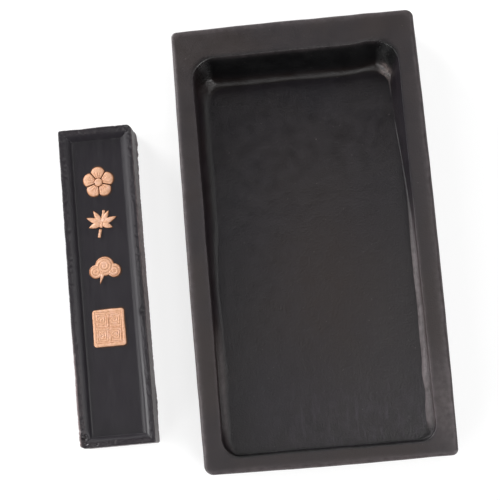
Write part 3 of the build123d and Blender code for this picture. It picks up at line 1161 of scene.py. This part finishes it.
half_width, half_length = tablet_width / 2, tablet_length / 2
tablet_ring = rounded_ring(tablet_layout, -half_width, half_width, -half_length, half_length, tablet_corner)
uneven_edge = tablet_waver * waver(ring_turns(tablet_ring), 22, seed=61)
tablet_ring = tablet_ring + tablet_layout[1] * uneven_edge[:, None]
tablet = relief(tablet_ring, np.zeros(2), tablet_height, seal_place, steps=90)
gilt_seal = gild("gold_tablet", "gilt_seal", [tablet])

# %% [markdown]
# ## Finishes
#
# A finish is a small network of nodes. The helpers below keep each recipe short: one adds a node and fills
# its sockets, one makes noise of a given grain in millimetres, and one mixes two colours by a number. All
# patterns read Object coordinates or the numbers stored on the mesh, so they stay put when a piece moves.
# Each recipe names its colours first. They are the share of red, green and blue light that comes back.

# %% Helpers for finishes
def new_finish(name):
    """An empty material with a Principled shader. Returns the material, its node tree and the shader."""
    finish = bpy.data.materials.new(name)
    finish.use_nodes = True
    tree = finish.node_tree
    return finish, tree, tree.nodes["Principled BSDF"]


def add(tree, kind, settings=None, **sockets):
    """A new node. settings are its own properties; sockets are numbers, colours or links for its inputs."""
    made = tree.nodes.new("ShaderNode" + kind)
    for label, value in (settings or {}).items():
        setattr(made, label, value)
    for label, value in sockets.items():
        socket = made.inputs[int(label[1:]) if label[1:].isdigit() else label.replace("_", " ")]
        if isinstance(value, bpy.types.NodeSocket):
            tree.links.new(value, socket)
        else:
            socket.default_value = value
    return made


def coordinates(tree, stretch):
    """Object coordinates, stretched along each axis."""
    place = add(tree, "TexCoord").outputs["Object"]
    return add(tree, "Mapping", Vector=place, Scale=stretch).outputs["Vector"]


def grain(tree, size, detail, rough=0.55, stretch=(1, 1, 1)):
    """Noise from 0 to 1 whose blotches are about that many millimetres across."""
    made = add(tree, "TexNoise", Vector=coordinates(tree, stretch), Scale=1 / (size * MM), Detail=detail)
    made.inputs["Roughness"].default_value = rough
    return made.outputs["Fac"]


def stored(tree, label):
    """A number that is stored on the mesh."""
    return add(tree, "Attribute", {"attribute_name": label}).outputs["Fac"]


def between(tree, value, low, high, out_low=0.0, out_high=1.0):
    """The value moved from one range to another, and held inside it."""
    made = add(tree, "MapRange", Value=value, From_Min=low, From_Max=high, To_Min=out_low, To_Max=out_high)
    return made.outputs["Result"]


def calculate(tree, operation, first, second):
    """One sum of two numbers or links, such as ADD or MAXIMUM."""
    return add(tree, "Math", {"operation": operation}, _0=first, _1=second).outputs[0]


def times(tree, first, second):
    """The product of two numbers or links."""
    return calculate(tree, "MULTIPLY", first, second)


def blend_colours(tree, share, first, second):
    """A mix of two colours: all of the first at share 0, all of the second at 1."""
    made = add(tree, "Mix", {"data_type": "RGBA"})
    for index, value in ((0, share), (6, first), (7, second)):
        if isinstance(value, bpy.types.NodeSocket):
            tree.links.new(value, made.inputs[index])
        else:
            made.inputs[index].default_value = value
    return made.outputs[2]


def colour(red, green, blue):
    """A colour with full cover."""
    return (red, green, blue, 1.0)


def raise_surface(tree, shader, heights, depth):
    """Bump from a height of 0 to 1, that many millimetres deep."""
    bump = add(tree, "Bump", Height=heights, Distance=depth * MM)
    tree.links.new(bump.outputs["Normal"], shader.inputs["Normal"])


# %% [markdown]
# ### Slate
#
# Ground slate is dark, close-grained and a little silky. It isn't one colour: broad lilac and rust-grey
# clouds lie in it, then a mottle of a few millimetres, then the grain. Ink has soaked into the well, which
# is darker and smoother than the rim, and has left a brown film where it was ground. In the middle of the
# floor that film is also painted light, paler where the floor is lit more. Near black is painted on the
# far wall as dried ink and painted shade, and as painted shade along the foot of the near wall and down
# the left-hand wall beside the pool. Pale painted glints of lamp light lie in the pool's corners, most of
# all in the right-hand one, and where the ink set smooth it shines more. Dust lies in the fine scratches of
# the near end. The outer edges are scuffed pale, the bare left-hand ramp is paler, the bare right-hand ramp
# carries a painted highlight, and a few specks of pale grit show.

# %% Finish the stone
lilac_rock, rust_rock = colour(0.0092, 0.0058, 0.0078), colour(0.0124, 0.0068, 0.0062)
rock_mottle = colour(0.0195, 0.0125, 0.0130)
lilac_wet, rust_wet = colour(0.0032, 0.0020, 0.0044), colour(0.0044, 0.0026, 0.0036)
wet_mottle = colour(0.0090, 0.0048, 0.0084)
# The film's brown is also painted light on the floor, and the near black is dried ink and painted shade.
brown_film_and_painted_light, dried_ink_and_painted_shade = colour(0.0105, 0.0048, 0.0036), colour(0.0012, 0.0012, 0.0014)
# A pale colour, painted for glints of lamp light.
painted_glint_colour = colour(0.26, 0.21, 0.20)
# scuffed also paints the highlight on the right-hand ramp.
stone_dust, scuffed, grit = colour(0.055, 0.042, 0.061), colour(0.100, 0.083, 0.087), colour(0.12, 0.10, 0.10)


def slate_finish():
    """Lilac and rust-grey clouds, a mottle and a grain, with soaked, filmed, dusty and scuffed places."""
    finish, tree, shader = new_finish("slate")
    clouds = between(tree, grain(tree, 22, detail=3), 0.40, 0.60)
    mottle = between(tree, grain(tree, 4, detail=5, rough=0.62), 0.3, 0.7)
    fine = grain(tree, 0.5, detail=3)
    rock = blend_colours(tree, clouds, lilac_rock, rust_rock)
    rock = blend_colours(tree, times(tree, mottle, 0.45), rock, rock_mottle)
    wet = blend_colours(tree, clouds, lilac_wet, rust_wet)
    wet = blend_colours(tree, times(tree, mottle, 0.4), wet, wet_mottle)
    # A brown film, which on the floor is also painted light.
    film = times(tree, stored(tree, "film"), between(tree, mottle, 0, 1, 0.95, 0.55))
    wet = blend_colours(tree, film, wet, brown_film_and_painted_light)
    # Near black on the walls, for dried ink and painted shade.
    wet = blend_colours(tree, stored(tree, "thick"), wet, dried_ink_and_painted_shade)
    # Pale painted glints in the pool's corners, in spots.
    glint_spots = stored(tree, "painted_glint"), between(tree, grain(tree, 0.8, detail=6, rough=0.7), 0.35, 0.65)
    wet = blend_colours(tree, times(tree, *glint_spots), wet, painted_glint_colour)
    rock = blend_colours(tree, stored(tree, "well"), rock, wet)
    lines = between(tree, grain(tree, 1.0, detail=4, stretch=(1, 0.15, 1)), 0.52, 0.74)
    smudge = times(tree, between(tree, grain(tree, 3.2, detail=6, rough=0.7), 0.48, 0.72), 0.7)
    dust = times(tree, stored(tree, "dust"), calculate(tree, "MAXIMUM", lines, smudge))
    rock = blend_colours(tree, times(tree, dust, 0.35), rock, stone_dust)
    # Scuffed pale, and on the right-hand ramp a painted highlight.
    patchy = stored(tree, "wear"), between(tree, grain(tree, 1.6, detail=6), 0.3, 0.7, 0.35, 0.95)
    rock = blend_colours(tree, times(tree, times(tree, *patchy), 0.7), rock, scuffed)
    specks = between(tree, grain(tree, 0.9, detail=1), 0.765, 0.80)
    rock = blend_colours(tree, times(tree, specks, 0.35), rock, grit)
    tree.links.new(rock, shader.inputs["Base Color"])
    smooth = between(tree, stored(tree, "well"), 0, 1, 0.50, 0.40)
    smooth = calculate(tree, "SUBTRACT", smooth, times(tree, stored(tree, "glaze"), 0.10))
    roughness = calculate(tree, "ADD", smooth, between(tree, mottle, 0, 1, -0.05, 0.07))
    tree.links.new(roughness, shader.inputs["Roughness"])
    strokes = times(tree, stored(tree, "sawn"), grain(tree, 0.9, detail=4, stretch=(0.1, 0.1, 1)))
    height = calculate(tree, "ADD", fine, times(tree, mottle, 0.6))
    raise_surface(tree, shader, calculate(tree, "ADD", height, times(tree, strokes, 2.0)), 0.06)
    shader.inputs["Specular IOR Level"].default_value = 0.5
    return finish


slate = slate_finish()
inkstone.data.materials.append(slate)
print("the slate has", len(slate.node_tree.nodes), "nodes")

# %% [markdown]
# ### Pressed ink
#
# Ink is soot in glue. It dries to a soft satin black with a faint violet cast, streaked along its length
# where the paste was pushed into the mould. Handling wears the crest brown-grey, and polishes the right-hand
# bevel near the tail. Shade is painted darker at the foot of the bevels, in the chips and along a stretch of
# the right-hand crest. The sides, where the mould's halves met, are broken, matt and much paler. On the
# right the paleness is also painted light, and it runs up onto the crest's edge as a painted highlight.

# %% Finish the stick
black_ink, violet_ink = colour(0.0072, 0.0050, 0.0087), colour(0.0092, 0.0066, 0.0107)
# Next, the crest's worn brown-grey, and a near black for painted shade.
worn_ink, painted_shade_black = colour(0.060, 0.045, 0.047), colour(0.0025, 0.0020, 0.0028)
# The pale of the broken sides, which on the right is also painted light.
broken_ink_and_painted_light = colour(0.26, 0.203, 0.203)


def ink_finish():
    """Satin black with long streaks, paler on the crest, paler sides that are partly painted light, and
    painted shade.
    """
    finish, tree, shader = new_finish("pressed_ink")
    streaks = between(tree, grain(tree, 1.4, detail=4, stretch=(1, 0.25, 1)), 0.3, 0.7)
    patches = between(tree, grain(tree, 7, detail=3), 0.35, 0.65)
    black = blend_colours(tree, patches, black_ink, violet_ink)
    crest = times(tree, stored(tree, "wear"), between(tree, grain(tree, 1.1, detail=6), 0.3, 0.7))
    black = blend_colours(tree, times(tree, crest, 0.5), black, worn_ink)
    # Painted shade at the bevels' feet, in the chips and along a stretch of the right-hand crest.
    black = blend_colours(tree, times(tree, stored(tree, "painted_shade"), 0.35), black, painted_shade_black)
    # Pale broken sides; on the right also painted light, with a painted highlight on the crest's edge.
    broken = times(tree, stored(tree, "side"), between(tree, grain(tree, 1.6, detail=6), 0.3, 0.65, 0.3, 1.0))
    black = blend_colours(tree, broken, black, broken_ink_and_painted_light)
    tree.links.new(black, shader.inputs["Base Color"])
    satin = between(tree, streaks, 0, 1, 0.36, 0.42)
    satin = calculate(tree, "SUBTRACT", satin, times(tree, stored(tree, "polish"), 0.09))
    roughness = calculate(tree, "ADD", satin, times(tree, stored(tree, "side"), 0.33))
    tree.links.new(roughness, shader.inputs["Roughness"])
    height = calculate(tree, "ADD", streaks, times(tree, grain(tree, 0.35, detail=2), 0.5))
    raise_surface(tree, shader, height, 0.012)
    shader.inputs["Specular IOR Level"].default_value = 0.5
    return finish


pressed_ink = ink_finish()
ink_stick.data.materials.append(pressed_ink)
print("the pressed ink has", len(pressed_ink.node_tree.nodes), "nodes")

# %% [markdown]
# ### Gilding
#
# The gilding is bronze powder brushed on in a binder: a warm, peach-coloured gold that is more matt than
# metal. The brush misses the foot of each flank, so a brown line runs round every figure, and the powder
# lies thick and thin.

# %% Finish the figures
thin_gold, thick_gold = colour(0.58, 0.30, 0.17), colour(0.74, 0.44, 0.29)
pale_gold = colour(0.80, 0.52, 0.42)
orange_edge, brown_foot = colour(0.36, 0.14, 0.055), colour(0.030, 0.012, 0.006)


def gilt_finish():
    """Peach gold with thick and thin patches, orange where it thins out, and brown where the brush skips."""
    finish, tree, shader = new_finish("gilding")
    thick = between(tree, grain(tree, 0.7, detail=5, rough=0.65), 0.33, 0.67)
    gold = blend_colours(tree, thick, thin_gold, thick_gold)
    pale = between(tree, grain(tree, 1.9, detail=2), 0.5, 0.75, 0, 0.5)
    gold = blend_colours(tree, pale, gold, pale_gold)
    cover = stored(tree, "paint")
    gold = blend_colours(tree, between(tree, cover, 0.35, 0.9), orange_edge, gold)
    gold = blend_colours(tree, between(tree, cover, 0.02, 0.40), brown_foot, gold)
    tree.links.new(gold, shader.inputs["Base Color"])
    shader.inputs["Metallic"].default_value = 0.2
    tree.links.new(between(tree, thick, 0, 1, 0.60, 0.46), shader.inputs["Roughness"])
    raise_surface(tree, shader, grain(tree, 0.25, detail=3), 0.05)
    return finish


gilding = gilt_finish()
for figure in (gilt_blossom, gilt_bamboo, gilt_cloud, gilt_seal):
    figure.data.materials.append(gilding)
print("the gilding has", len(gilding.node_tree.nodes), "nodes")

# %% [markdown]
# ## The table and the light
#
# The set lies on a white sweep. A floor that only reflects light comes out grey, so this one also glows, but
# only for the camera and for surfaces that mirror it: the glow lights nothing. It grows with the distance,
# so that no grey band lies along the horizon in a low view.

# %% The white sweep
sweep_size = 3.0
lit_grey, dim_grey = 0.8, 0.35  # how much it throws back onto the set, and how much under its glow
glow_starts, glow_ends = 0.3, 0.9
glow_near, glow_far = 0.72, 1.0


def white_sweep():
    """A flat floor that is part lit and part glowing for the camera and for gloss, so that it shows white."""
    half = sweep_size / 2
    mesh = bpy.data.meshes.new("floor")
    corners = [(-half, -half, 0), (half, -half, 0), (half, half, 0), (-half, half, 0)]
    mesh.from_pydata(corners, [], [(0, 1, 2, 3)])
    floor = bpy.data.objects.new("floor", mesh)
    bpy.context.scene.collection.objects.link(floor)
    finish = bpy.data.materials.new("white_sweep")
    finish.use_nodes = True
    tree = finish.node_tree
    tree.nodes.clear()
    path = add(tree, "LightPath")
    seen = calculate(tree, "MAXIMUM", path.outputs["Is Camera Ray"], path.outputs["Is Glossy Ray"])
    seen = calculate(tree, "MAXIMUM", seen, path.outputs["Is Transmission Ray"])
    lit = add(tree, "BsdfDiffuse", Color=colour(lit_grey, lit_grey, lit_grey)).outputs[0]
    dim = add(tree, "BsdfDiffuse", Color=colour(dim_grey, dim_grey, dim_grey)).outputs[0]
    away = add(tree, "VectorMath", {"operation": "LENGTH"}, _0=add(tree, "TexCoord").outputs["Object"])
    strength = between(tree, away.outputs["Value"], glow_starts, glow_ends, glow_near, glow_far)
    glow = add(tree, "Emission", Color=colour(1, 1, 1), Strength=strength).outputs[0]
    shown = add(tree, "AddShader", _0=dim, _1=glow).outputs[0]
    mixed = add(tree, "MixShader", _0=seen, _1=lit, _2=shown).outputs[0]
    tree.links.new(mixed, add(tree, "OutputMaterial").inputs["Surface"])
    floor.data.materials.append(finish)


def white_room():
    """A world that lights nothing, and shows as white where the camera looks past the floor."""
    world = bpy.data.worlds.new("room")
    bpy.context.scene.world = world
    world.use_nodes = True
    tree = world.node_tree
    back = tree.nodes["Background"]
    path = add(tree, "LightPath")
    tree.links.new(between(tree, path.outputs["Is Camera Ray"], 0, 1), back.inputs["Strength"])
    back.inputs["Color"].default_value = colour(1, 1, 1)


white_sweep()
white_room()
print("the floor glows from", glow_near, "beside the set to", glow_far, "at", glow_ends, "m")

# %% [markdown]
# ### The lamps
#
# Nine soft square lamps stand round the set, all as large and as far away as each other, so that only their
# directions and powers differ. Four hang low and rake over the edges. The strongest of them, behind on the
# left, draws the bright line down the right-hand wall of the well, where a painted highlight on the ramp adds
# to it, and along the right-hand bevel of the stick. The other five are high and weak, and fill the faces
# that look up.

# %% Hang the lamps
lamp_distance, lamp_size = 1.2, 0.5
set_middle = np.array([-0.018, 0.0, 0.01])
lamps = [  # name, azimuth, elevation, power in watts
    ("behind_left_low", 315, 15, 16.4),
    ("left_low", 270, 15, 4.5),
    ("front_left_low", 225, 15, 7.2),
    ("front_right_low", 135, 15, 6.6),
    ("behind", 0, 35, 1.9),
    ("behind_right", 45, 35, 1.6),
    ("left_high", 270, 55, 3.3),
    ("front_right_high", 135, 55, 4.0),
    ("overhead", 90, 75, 2.5),
]


def soft_lamp(name, azimuth, elevation, power):
    """A square lamp that faces the set. Azimuth 0 is behind it, at +Y, and 90 is to its right, at +X."""
    around, above = math.radians(azimuth), math.radians(elevation)
    back = np.array([math.sin(around) * math.cos(above), math.cos(around) * math.cos(above), math.sin(above)])
    side = unit(np.cross([0.0, 1.0, 0.001], back))
    data = bpy.data.lights.new(name, "AREA")
    data.shape = "SQUARE"
    data.size = lamp_size
    data.energy = power
    lamp = bpy.data.objects.new(name, data)
    turned_to = np.eye(4)
    turned_to[:3, 0], turned_to[:3, 1], turned_to[:3, 2] = side, np.cross(back, side), back
    turned_to[:3, 3] = back * lamp_distance + set_middle
    lamp.matrix_world = turned_to.T.tolist()
    bpy.context.scene.collection.objects.link(lamp)


for lamp_facts in lamps:
    soft_lamp(*lamp_facts)
print(len(lamps), "lamps give", round(sum(lamp_facts[3] for lamp_facts in lamps), 1), "W")

# %% [markdown]
# ## Finish
#
# Blender shows the picture as it is measured, with no film look.

# %% Set the view
bpy.context.scene.view_settings.view_transform = "Standard"
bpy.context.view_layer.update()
